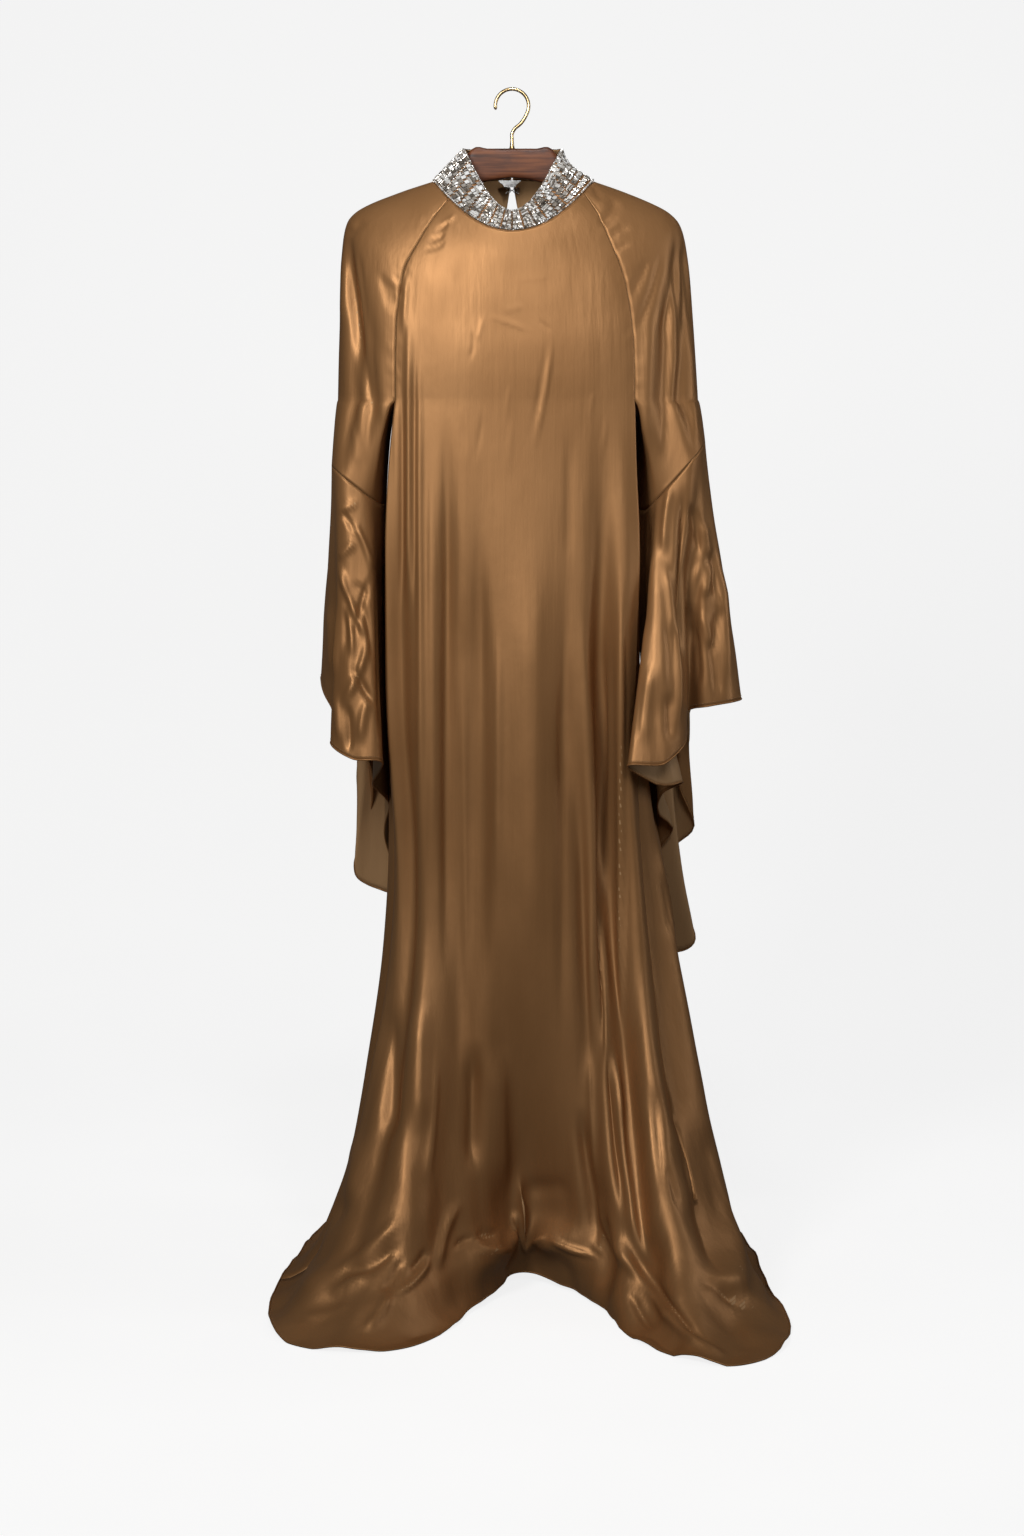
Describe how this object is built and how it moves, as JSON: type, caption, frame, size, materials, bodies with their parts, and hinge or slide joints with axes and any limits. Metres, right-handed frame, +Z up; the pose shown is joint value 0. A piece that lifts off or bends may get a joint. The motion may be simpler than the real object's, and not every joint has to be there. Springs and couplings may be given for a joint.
{
  "type": "kaftan dress on a wooden hanger",
  "caption": "Floor-length satin kaftan dress with raglan sleeves, waterfall flounce cuffs and a jewelled funnel collar, hanging open from a contoured wooden hanger.",
  "frame": {"origin": "the point under the top of the hanger's hook where it bears on its rail", "axes": "+Z up, +X to the viewer's right when facing the dress's front, +Y from the front to the back"},
  "size_m": [0.6478, 0.8154, 1.5246],
  "materials": {
    "satin": "bronze-brown satin, smooth with a soft sheen",
    "stones": "clear cut stones in silver settings on cloth",
    "label_white": "plain woven, blank",
    "steel": "plain wire",
    "wood": "stained and varnished",
    "brass": "polished wire"
  },
  "bodies": {
    "root": {"front": "satin", "back_left": "satin", "back_right": "satin", "sleeve_left": "satin", "sleeve_right": "satin", "flounce_left": "satin", "flounce_right": "satin", "collar": "stones", "label": "label_white", "hook_1": "steel", "hook_2": "steel", "eye_1": "steel", "eye_2": "steel", "hanger_wood": "wood", "hanger_hook": "brass"}
  },
  "joints": []
}
